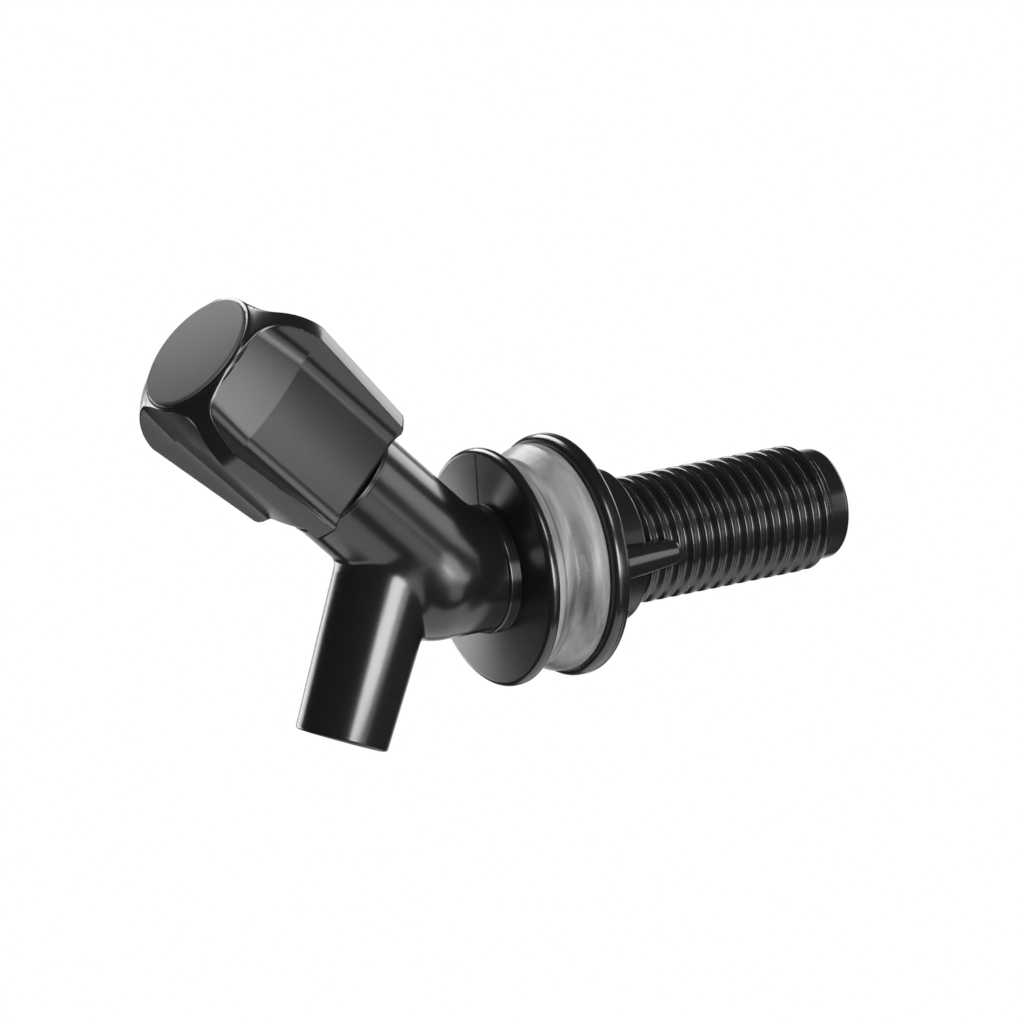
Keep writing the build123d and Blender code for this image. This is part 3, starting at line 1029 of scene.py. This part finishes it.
def knob_heights():
    """Heights of the rings: close at the foot, the step and the kink, and over the crown."""
    size = sizes()
    start, step = size.knob_start, size.panel_step
    heights = list(np.linspace(start + FOOT_ROUND, start + CHAMFER_HEIGHT, 4))
    heights += list(np.linspace(start + 1.6 * MM, step - 0.6 * MM, 16))
    heights += [step + offset * MM for offset in (-0.25, -0.1, -0.05, 0, 0.05, 0.1, 0.25)]
    heights += [size.knob_kink + offset * MM for offset in (-0.2, -0.07, 0)]
    return heights + crown_heights(34)


def widen_to_rim(rings, circle):
    """Turns the rings just under the cap's face into the round of the rim."""
    size = sizes()
    ledge, softness = 0.4 * MM, 0.3 * MM
    for i, (ring, height) in enumerate(rings):
        if height > size.knob_top - ledge:
            distance = np.hypot(ring[:, 0], ring[:, 1])
            wide = trim(distance, size.rim_radius, softness)
            rings[i] = (circle * np.maximum(wide, size.rim_radius)[:, None], height)


def make_knob():
    """The knob: rings lofted along the axis, with a stepped panel, a rim and a hollow skirt."""
    size = sizes()
    start, top = size.knob_start, size.knob_top
    foot = knob_section(panel_width(start), panel_fillet(0), knob_reach(start))
    rings = []
    for share_in in (1.0, 0.3, 0.08):
        height = start + FOOT_ROUND * (1 - share_in) ** 2
        rings.append((scaled_ring(foot, -FOOT_ROUND * share_in), height))
    for height in knob_heights():
        ring = knob_section(panel_width(height), panel_fillet(height), knob_reach(height))
        rings.append((ring, height))
    circle = ring / np.hypot(ring[:, 0], ring[:, 1])[:, None]
    widen_to_rim(rings, circle)
    rim_top = top + size.rim_height
    rim_round = 0.25 * MM
    for turn in np.radians((0, 30, 60, 90)):
        reach = size.rim_radius - rim_round * (1 - math.cos(turn))
        rings.append((circle * reach, rim_top - rim_round * (1 - math.sin(turn))))
    recess = size.cap_radius + 0.04 * MM
    skirt_depth, well_depth = 12 * MM, 3.0 * MM
    for radius, height in (
        (recess, rim_top),
        (recess, top),
        (size.well_radius, top),
        (size.well_radius, top - well_depth),
    ):
        rings.append((circle * radius, height))
    skirt = circle * size.skirt_bore
    rings = [(skirt, start + skirt_depth), (skirt, start)] + rings
    points = np.vstack([np.column_stack((ring, np.full(len(ring), z))) for ring, z in rings])
    bow_panel_step(points)
    faces = ring_faces(len(rings), len(circle))
    return add_mesh("knob_moulding", points, faces, barrel_frame(), 50)


def bow_panel_step(points):
    """Lets the panels' step sag in the middle of each panel."""
    core, sag = 7.5 * MM, 0.35 * MM
    sag_height, sag_half_width = 2.5 * MM, 6.4 * MM
    angle = np.arctan2(points[:, 1], points[:, 0])
    off_panel = np.abs(np.mod(angle + math.pi / 4, math.pi / 2) - math.pi / 4)
    distance = np.hypot(points[:, 0], points[:, 1])
    across = distance * np.sin(off_panel)
    reach = 1 - np.clip(np.abs(points[:, 2] - sizes().panel_step) / sag_height, 0, 1)
    bow = sag * np.clip(1 - (across / sag_half_width) ** 2, 0, 1)
    points[:, 2] -= bow * reach * (distance > core)


def make_cap():
    """The cap: a thin disc with a soft edge and a shallow dome."""
    size = sizes()
    seat = size.knob_top + 0.02 * MM
    rim = size.knob_top + 0.65 * MM
    dome, edge, steps = 0.35 * MM, 0.25 * MM, 16
    radius = size.cap_radius
    outline = rounded([(5.6 * MM, seat, 0), (radius, seat, 0), (radius, rim, edge), (0, rim, 0)])
    face = size.cap_radius - edge
    outline = outline[:-1]
    for step in range(1, steps + 1):
        radius = face * (1 - step / steps)
        outline.append(Vector((radius, rim + dome * (1 - (radius / face) ** 2))))
    return lathe("cap_disc", outline, barrel_frame())


# Operators

class FAUCET_OT_body(Operator):
    """Build the body's skin: elbow, spout, barrel end, flange and threaded shank"""

    bl_idname = "faucet.body"
    bl_label = "Body"

    def execute(self, context):
        for make in (
            make_elbow,
            make_spout,
            make_barrel_end,
            make_flange,
            make_flange_seam,
            make_shank,
        ):
            dress(make(), FIXED_BODY, "body", black_body())
        return {"FINISHED"}


class FAUCET_OT_seals(Operator):
    """Build the two seals on the shank"""

    bl_idname = "faucet.seals"
    bl_label = "Seals"

    def execute(self, context):
        dress(make_outer_seal(), FIXED_BODY, "outer_seal", clear_rubber())
        dress(make_inner_seal(), "seal", "inner_seal", clear_rubber())
        return {"FINISHED"}


class FAUCET_OT_wing_nut(Operator):
    """Build the nut and its two wings"""

    bl_idname = "faucet.wing_nut"
    bl_label = "Wing Nut"

    def execute(self, context):
        for piece in (make_nut(), make_wing(1), make_wing(-1)):
            dress(piece, "nut", "wing_nut", black_body())
        return {"FINISHED"}


class FAUCET_OT_knob(Operator):
    """Build the knob and its cap"""

    bl_idname = "faucet.knob"
    bl_label = "Knob"

    def execute(self, context):
        dress(make_knob(), HANDLE_BODY, "knob", black_knob())
        dress(make_cap(), HANDLE_BODY, "knob_cap", matt_cap())
        return {"FINISHED"}


class FAUCET_OT_inside(Operator):
    """Give the valve parts inside their materials"""

    bl_idname = "faucet.inside"
    bl_label = "Inside Parts"

    def execute(self, context):
        finishes = {
            "knob_screw": screw_steel(),
            "bonnet": natural_acetal(),
            "spindle": natural_acetal(),
            "jumper": natural_acetal(),
            "bonnet_o_ring": black_rubber(),
            "spindle_o_ring": black_rubber(),
            "seat_washer": black_rubber(),
        }
        for node, material in finishes.items():
            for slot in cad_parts[node].material_slots:
                slot.material = material
        return {"FINISHED"}


class FAUCET_OT_studio(Operator):
    """Set up the floor, the soft lights, the background and the camera"""

    bl_idname = "faucet.studio"
    bl_label = "Studio"

    def execute(self, context):
        make_floor()
        make_world()
        make_lights()
        make_camera()
        context.scene.view_settings.view_transform = "Standard"
        return {"FINISHED"}


class FAUCET_PT_panel(Panel):
    """The faucet's pieces and settings"""

    bl_label = "Faucet"
    bl_idname = "FAUCET_PT_panel"
    bl_space_type = "VIEW_3D"
    bl_region_type = "UI"
    bl_category = "Faucet"

    def draw(self, context):
        layout = self.layout
        for operator in OPERATORS:
            layout.operator(operator.bl_idname)
        for settings in (context.scene.faucet_sizes, context.scene.faucet_finish):
            box = layout.box()
            for name in settings.__annotations__:
                box.prop(settings, name)


# Studio

# Direction of the backdrop behind the faucet, seen from the photograph's side, and the angles
# from it at which its white ends and starts
BACKDROP = (0.5045, 0.8396, -0.2011)
BACKDROP_FADE = (32, 12)

# Light of the room on glossy and on matt surfaces, where 1 is white
GLOSS_SURROUND = 0.04
DIFFUSE_SURROUND = 0.35

# Distance of every lamp, then for each its name, azimuth and elevation in degrees as seen from
# the faucet, width and power
LAMP_DISTANCE = 0.95
LAMPS = (
    ("key_softbox", -4.0, -1.0, 0.46, 6.4),
    ("front_right_softbox", 17.0, -6.0, 0.30, 0.9),
    ("upper_softbox", 8.0, 38.0, 0.34, 2.4),
    ("right_softbox", 56.0, 4.0, 0.44, 1.1),
    ("low_softbox", 10.0, -28.0, 0.34, 0.35),
    ("back_softbox", -168.0, -10.0, 0.46, 2.4),
    ("back_top_softbox", 178.0, 38.0, 0.55, 6.5),
    ("far_side_softbox", 105.0, 15.0, 0.45, 2.0),
)


def direction_at(azimuth, elevation):
    """The direction at an azimuth and elevation in radians, where 0 is the faucet's front."""
    level = math.cos(elevation)
    return Vector((math.sin(azimuth) * level, -math.cos(azimuth) * level, math.sin(elevation)))


def make_floor():
    """A pale floor well below the held faucet, white to the camera but for the faucet's shadow."""
    drop = 350 * MM
    half = 280 * MM
    level = cad_box[0][2] - drop
    square = ((-half, -half), (half, -half), (half, half), (-half, half))
    floor = add_mesh("floor", [(x, y, level) for x, y in square], [(0, 1, 2, 3)])
    material, tree, shader, coordinates = new_material("pale_floor")
    shader.inputs["Roughness"].default_value = 0.9
    speckle = noise(tree, 40.0, 2.0)
    tree.links.new(coordinates, speckle.inputs["Vector"])
    colour_skin(tree, shader, speckle.outputs["Fac"], (0.86, 0.86, 0.86), (0.90, 0.90, 0.90))
    white = white_ray(tree)[1]
    glow_share = 0.97
    glow = tree.nodes.new("ShaderNodeEmission")
    glow.inputs["Strength"].default_value = 1.0
    both = tree.nodes.new("ShaderNodeMixShader")
    tree.links.new(math_node(tree, "MULTIPLY", white, glow_share), both.inputs["Fac"])
    tree.links.new(shader.outputs["BSDF"], both.inputs[1])
    tree.links.new(glow.outputs["Emission"], both.inputs[2])
    tree.links.new(both.outputs["Shader"], tree.nodes["Material Output"].inputs["Surface"])
    floor.data.materials.append(material)


def white_ray(tree):
    """1 for the camera's rays, and 1 for camera, glossy and transmission rays alike."""
    path = tree.nodes.new("ShaderNodeLightPath")
    camera_ray = path.outputs["Is Camera Ray"]
    either = math_node(tree, "MAXIMUM", camera_ray, path.outputs["Is Glossy Ray"])
    return camera_ray, math_node(tree, "MAXIMUM", either, path.outputs["Is Transmission Ray"])


def make_world():
    """A dim studio with a white backdrop behind the faucet, and white all round to the camera."""
    world = bpy.data.worlds.new("studio_surround")
    bpy.context.scene.world = world
    world.use_nodes = True
    tree = world.node_tree
    background = tree.nodes["Background"]
    background.inputs["Color"].default_value = (1, 1, 1, 1)
    direction = tree.nodes.new("ShaderNodeTexCoord")
    toward = tree.nodes.new("ShaderNodeVectorMath")
    toward.operation = "DOT_PRODUCT"
    toward.inputs[1].default_value = BACKDROP
    tree.links.new(direction.outputs["Generated"], toward.inputs[0])
    backdrop = tree.nodes.new("ShaderNodeMapRange")
    backdrop.interpolation_type = "SMOOTHSTEP"
    for label, angle in zip(("From Min", "From Max"), BACKDROP_FADE):
        backdrop.inputs[label].default_value = math.cos(math.radians(angle))
    backdrop.inputs["To Min"].default_value = GLOSS_SURROUND
    tree.links.new(toward.outputs["Value"], backdrop.inputs["Value"])
    camera_ray, white = white_ray(tree)
    light = mix_node(tree, "FLOAT", white, DIFFUSE_SURROUND, backdrop.outputs["Result"])
    strength = mix_node(tree, "FLOAT", camera_ray, light, 1.0)
    tree.links.new(strength, background.inputs["Strength"])


def make_lights():
    """Soft square lamps that all face the middle of the faucet."""
    low, high = Vector(cad_box[0]), Vector(cad_box[1])
    middle = (low + high) / 2
    for name, azimuth, elevation, width, power in LAMPS:
        direction = direction_at(math.radians(azimuth), math.radians(elevation))
        lamp = bpy.data.lights.new(name, "AREA")
        lamp.shape = "SQUARE"
        lamp.size = width
        lamp.energy = power
        placed = new_object(name, lamp)
        placed.location = middle + direction * LAMP_DISTANCE
        placed.rotation_euler = direction.to_track_quat("Z", "Y").to_euler()


def make_camera():
    """A long lens at the photograph's angle, rolled a little."""
    azimuth, elevation, roll = math.radians(-31.05), math.radians(11.62), math.radians(-4.02)
    distance = 978 * MM
    aim_right, aim_up = 1.883 * MM, 6.697 * MM
    photo_width, pixels_a_mm = 1024, 8.112
    frame_width = photo_width / pixels_a_mm * MM
    back = direction_at(azimuth, elevation)
    right = Vector((math.cos(azimuth), math.sin(azimuth), 0))
    up = back.cross(right)
    rolled_right = right * math.cos(roll) + up * math.sin(roll)
    rolled_up = up * math.cos(roll) - right * math.sin(roll)
    place = Matrix((rolled_right, rolled_up, back)).transposed().to_4x4()
    place.translation = back * distance + rolled_right * aim_right + rolled_up * aim_up
    data = bpy.data.cameras.new("camera")
    data.sensor_width = 36
    data.lens = data.sensor_width * distance / frame_width
    data.clip_end = 10
    camera = new_object("camera", data)
    camera.matrix_world = place
    bpy.context.scene.camera = camera


OPERATORS = (
    FAUCET_OT_body,
    FAUCET_OT_seals,
    FAUCET_OT_wing_nut,
    FAUCET_OT_knob,
    FAUCET_OT_inside,
    FAUCET_OT_studio,
)
CLASSES = (FaucetSizes, FaucetFinish, *OPERATORS, FAUCET_PT_panel)


def register():
    """Adds the settings, operators and panel to Blender."""
    for cls in CLASSES:
        bpy.utils.register_class(cls)
    bpy.types.Scene.faucet_sizes = PointerProperty(type=FaucetSizes)
    bpy.types.Scene.faucet_finish = PointerProperty(type=FaucetFinish)


def unregister():
    """Takes them out again."""
    del bpy.types.Scene.faucet_finish
    del bpy.types.Scene.faucet_sizes
    for cls in reversed(CLASSES):
        bpy.utils.unregister_class(cls)


def main():
    """Builds the whole scene."""
    register()
    bpy.ops.faucet.body()
    bpy.ops.faucet.seals()
    bpy.ops.faucet.wing_nut()
    bpy.ops.faucet.knob()
    bpy.ops.faucet.inside()
    bpy.ops.faucet.studio()


if __name__ == "__main__":
    main()
